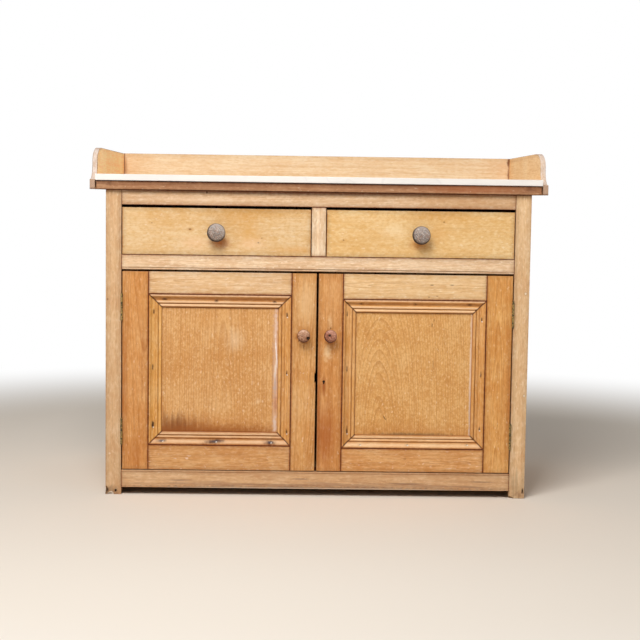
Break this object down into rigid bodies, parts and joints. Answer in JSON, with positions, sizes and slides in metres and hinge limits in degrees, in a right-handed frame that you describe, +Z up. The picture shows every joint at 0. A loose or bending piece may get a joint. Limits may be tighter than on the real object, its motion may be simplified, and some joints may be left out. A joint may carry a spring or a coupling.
{
  "type": "dry sink cabinet",
  "caption": "Pine dry sink cabinet with a marble slab inside a low gallery, drawers with turned knobs and hinged panelled doors with applied mouldings below.",
  "frame": {"origin": "on the floor under the middle of the whole cabinet, knobs included", "axes": "+X to the right seen from the front, +Y from the front to the back, +Z up"},
  "size_m": [1.29, 0.704, 0.99],
  "materials": {
    "pine_frame": "stripped and waxed pine",
    "pine_drawer": "stripped and waxed pine, golden",
    "pine_door": "stripped and waxed pine, orange brown",
    "pine_panel": "stripped and waxed wide pine board",
    "pine_moulding": "waxed moulded pine",
    "pine_inside": "bare planed pine",
    "marble": "honed white marble",
    "drawer_knob": "turned hardwood, grey brown and worn",
    "door_knob": "turned hardwood, reddish brown",
    "hinge_brass": "tarnished brass",
    "lock_iron": "dark iron with light rust"
  },
  "bodies": {
    "cabinet": {"left_side": "pine_frame", "right_side": "pine_frame", "left_front_stile": "pine_frame", "right_front_stile": "pine_frame", "bottom_rail": "pine_frame", "mid_rail": "pine_frame", "top_rail": "pine_frame", "drawer_muntin": "pine_frame", "cupboard_floor": "pine_inside", "back_boards": "pine_inside", "left_drawer_runner": "pine_inside", "right_drawer_runner": "pine_inside", "centre_drawer_runner": "pine_inside", "top_board": "pine_frame", "marble_slab": "marble", "gallery_back": "pine_frame", "gallery_left_end": "pine_frame", "gallery_right_end": "pine_frame", "left_door_upper_hinge_frame_leaf": "hinge_brass", "left_door_lower_hinge_frame_leaf": "hinge_brass", "right_door_upper_hinge_frame_leaf": "hinge_brass", "right_door_lower_hinge_frame_leaf": "hinge_brass"},
    "left_drawer": {"left_drawer_front": "pine_drawer", "left_drawer_left_side": "pine_inside", "left_drawer_right_side": "pine_inside", "left_drawer_bottom": "pine_inside", "left_drawer_back": "pine_inside", "left_drawer_knob": "drawer_knob"},
    "right_drawer": {"right_drawer_front": "pine_drawer", "right_drawer_left_side": "pine_inside", "right_drawer_right_side": "pine_inside", "right_drawer_bottom": "pine_inside", "right_drawer_back": "pine_inside", "right_drawer_knob": "drawer_knob"},
    "left_door": {"left_door_hinge_stile": "pine_door", "left_door_lock_stile": "pine_door", "left_door_bottom_rail": "pine_door", "left_door_top_rail": "pine_door", "left_door_panel": "pine_panel", "left_door_bottom_moulding": "pine_moulding", "left_door_left_moulding": "pine_moulding", "left_door_top_moulding": "pine_moulding", "left_door_right_moulding": "pine_moulding", "left_door_knob": "door_knob", "left_door_upper_hinge_door_leaf": "hinge_brass", "left_door_lower_hinge_door_leaf": "hinge_brass"},
    "right_door": {"right_door_hinge_stile": "pine_door", "right_door_lock_stile": "pine_door", "right_door_bottom_rail": "pine_door", "right_door_top_rail": "pine_door", "right_door_panel": "pine_panel", "right_door_bottom_moulding": "pine_moulding", "right_door_left_moulding": "pine_moulding", "right_door_top_moulding": "pine_moulding", "right_door_right_moulding": "pine_moulding", "right_door_knob": "door_knob", "lock_case": "lock_iron", "right_door_upper_hinge_door_leaf": "hinge_brass", "right_door_lower_hinge_door_leaf": "hinge_brass"},
    "door_lock_bolt": {"lock_bolt": "lock_iron"}
  },
  "joints": [
    {"name": "left_drawer_slide", "type": "slide", "parent": "cabinet", "child": "left_drawer", "axis": [0, -1, 0], "range_m": [0, 0.47]},
    {"name": "right_drawer_slide", "type": "slide", "parent": "cabinet", "child": "right_drawer", "axis": [0, -1, 0], "range_m": [0, 0.47]},
    {"name": "left_door_hinge", "type": "hinge", "parent": "cabinet", "child": "left_door", "pos_m": [-0.556, -0.319, 0.3585], "axis": [0, 0, -1], "range_deg": [0, 170]},
    {"name": "right_door_hinge", "type": "hinge", "parent": "cabinet", "child": "right_door", "pos_m": [0.556, -0.319, 0.3585], "axis": [0, 0, 1], "range_deg": [0, 170]},
    {"name": "lock_bolt_slide", "type": "slide", "parent": "right_door", "child": "door_lock_bolt", "axis": [-1, 0, 0], "range_m": [0, 0.008]}
  ]
}
